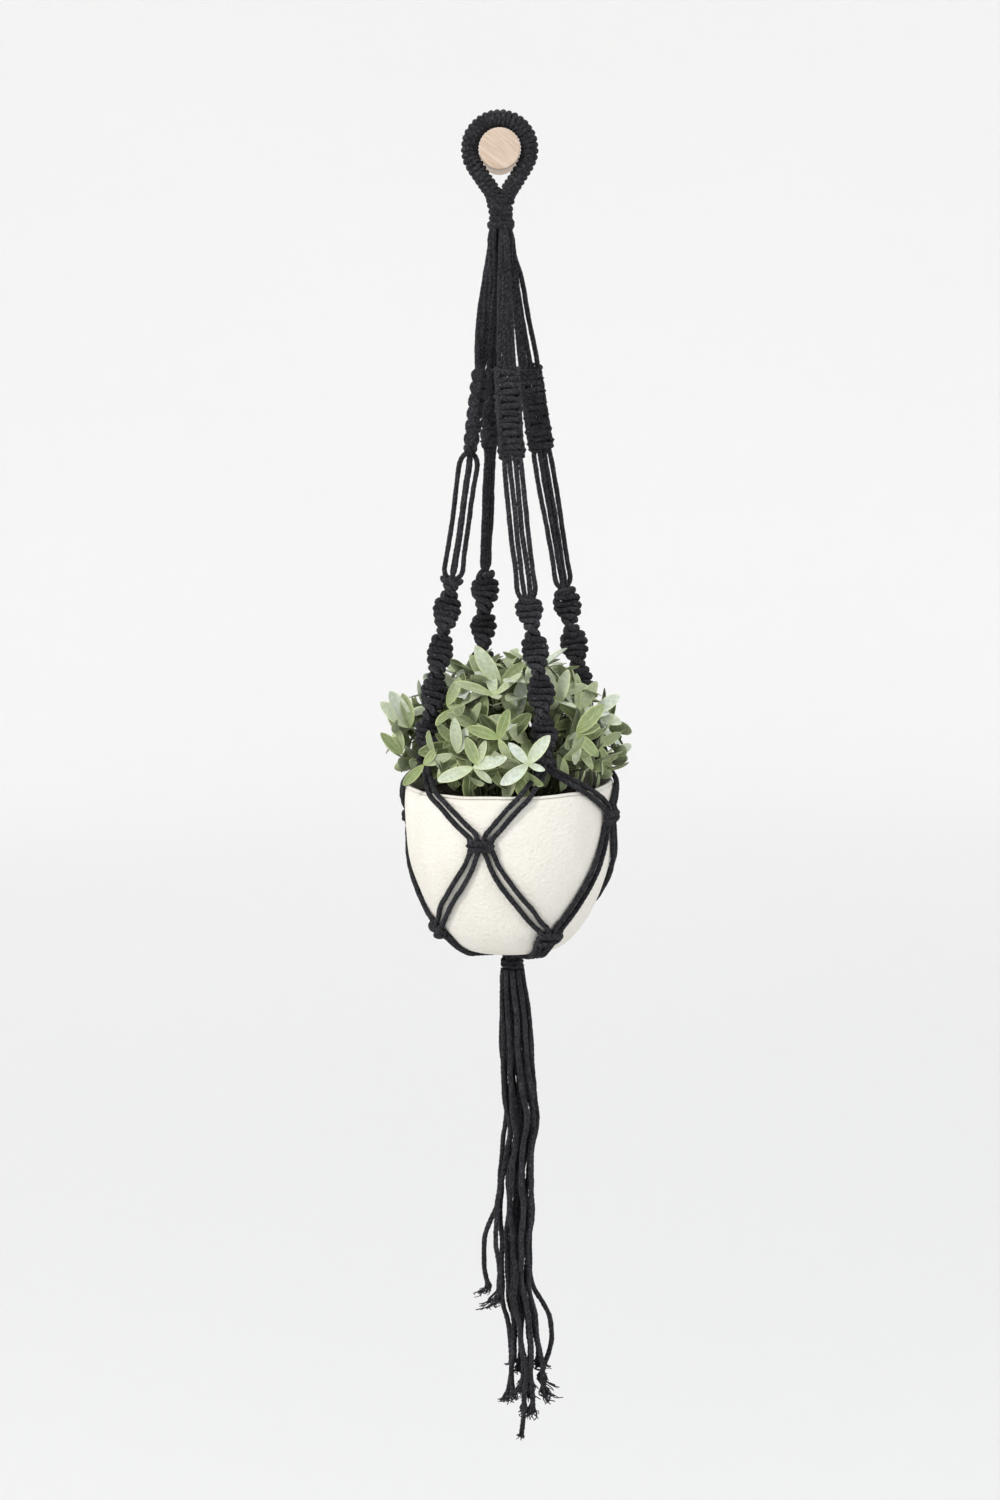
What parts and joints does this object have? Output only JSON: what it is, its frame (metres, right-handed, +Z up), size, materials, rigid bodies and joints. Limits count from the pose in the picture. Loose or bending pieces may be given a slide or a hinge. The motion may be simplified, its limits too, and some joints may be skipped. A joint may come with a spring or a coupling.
{
  "type": "hanging planter",
  "caption": "Knotted cotton cord hanger looped over a round wooden wall peg, with arms of flat and spiral knots, a net round a ceramic pot of leafy foliage, and a long tassel.",
  "frame": {"origin": "centre of the wall peg's flat back face, on the wall", "axes": "+Y out of the peg's back face into the wall, so the room is on the -Y side; +Z up along the hanger"},
  "size_m": [0.196, 0.1936, 1.0686],
  "materials": {
    "cotton_cord": "matte",
    "peg_wood": "satin",
    "pot_stoneware": "matte",
    "potting_medium": "matte",
    "leaves": "matte"
  },
  "bodies": {
    "peg": {"wall_peg": "peg_wood"},
    "loop": {"hanging_loop": "cotton_cord", "neck_binding": "cotton_cord"},
    "cradle": {"front_arm_upper_cords": "cotton_cord", "front_arm_square_knots": "cotton_cord", "front_arm_middle_cords": "cotton_cord", "front_arm_spiral_knots": "cotton_cord", "front_fork_cords": "cotton_cord", "front_net_knot": "cotton_cord", "front_net_cords": "cotton_cord", "front_base_knot": "cotton_cord", "front_base_cords": "cotton_cord", "right_arm_upper_cords": "cotton_cord", "right_arm_square_knots": "cotton_cord", "right_arm_middle_cords": "cotton_cord", "right_arm_spiral_knots": "cotton_cord", "right_fork_cords": "cotton_cord", "right_net_knot": "cotton_cord", "right_net_cords": "cotton_cord", "right_base_knot": "cotton_cord", "right_base_cords": "cotton_cord", "back_arm_upper_cords": "cotton_cord", "back_arm_square_knots": "cotton_cord", "back_arm_middle_cords": "cotton_cord", "back_arm_spiral_knots": "cotton_cord", "back_fork_cords": "cotton_cord", "back_net_knot": "cotton_cord", "back_net_cords": "cotton_cord", "back_base_knot": "cotton_cord", "back_base_cords": "cotton_cord", "left_arm_upper_cords": "cotton_cord", "left_arm_square_knots": "cotton_cord", "left_arm_middle_cords": "cotton_cord", "left_arm_spiral_knots": "cotton_cord", "left_fork_cords": "cotton_cord", "left_net_knot": "cotton_cord", "left_net_cords": "cotton_cord", "left_base_knot": "cotton_cord", "left_base_cords": "cotton_cord", "pot": "pot_stoneware", "soil": "potting_medium", "foliage": "leaves"},
    "tassel_neck": {"tassel_binding": "cotton_cord"},
    "tassel": {"tassel_strand_01": "cotton_cord", "tassel_strand_02": "cotton_cord", "tassel_strand_03": "cotton_cord", "tassel_strand_04": "cotton_cord", "tassel_strand_05": "cotton_cord", "tassel_strand_06": "cotton_cord", "tassel_strand_07": "cotton_cord", "tassel_strand_08": "cotton_cord", "tassel_strand_09": "cotton_cord", "tassel_strand_10": "cotton_cord", "tassel_strand_11": "cotton_cord", "tassel_strand_12": "cotton_cord", "tassel_strand_13": "cotton_cord", "tassel_strand_14": "cotton_cord", "tassel_strand_15": "cotton_cord", "tassel_strand_16": "cotton_cord"}
  },
  "joints": [
    {"name": "swing_on_peg", "type": "hinge", "parent": "peg", "child": "loop", "pos_m": [0, -0.1, 0], "axis": [0, 1, 0], "range_deg": [-25, 25]},
    {"name": "neck_flex", "type": "hinge", "parent": "loop", "child": "cradle", "pos_m": [0, -0.1, -0.062], "axis": [1, 0, 0], "range_deg": [-15, 0.6]},
    {"name": "tassel_fore_aft", "type": "hinge", "parent": "cradle", "child": "tassel_neck", "pos_m": [0, -0.1, -0.6396], "axis": [1, 0, 0], "range_deg": [-20, 12]},
    {"name": "tassel_side", "type": "hinge", "parent": "tassel_neck", "child": "tassel", "pos_m": [0, -0.1, -0.652], "axis": [0, 1, 0], "range_deg": [-20, 20]}
  ]
}
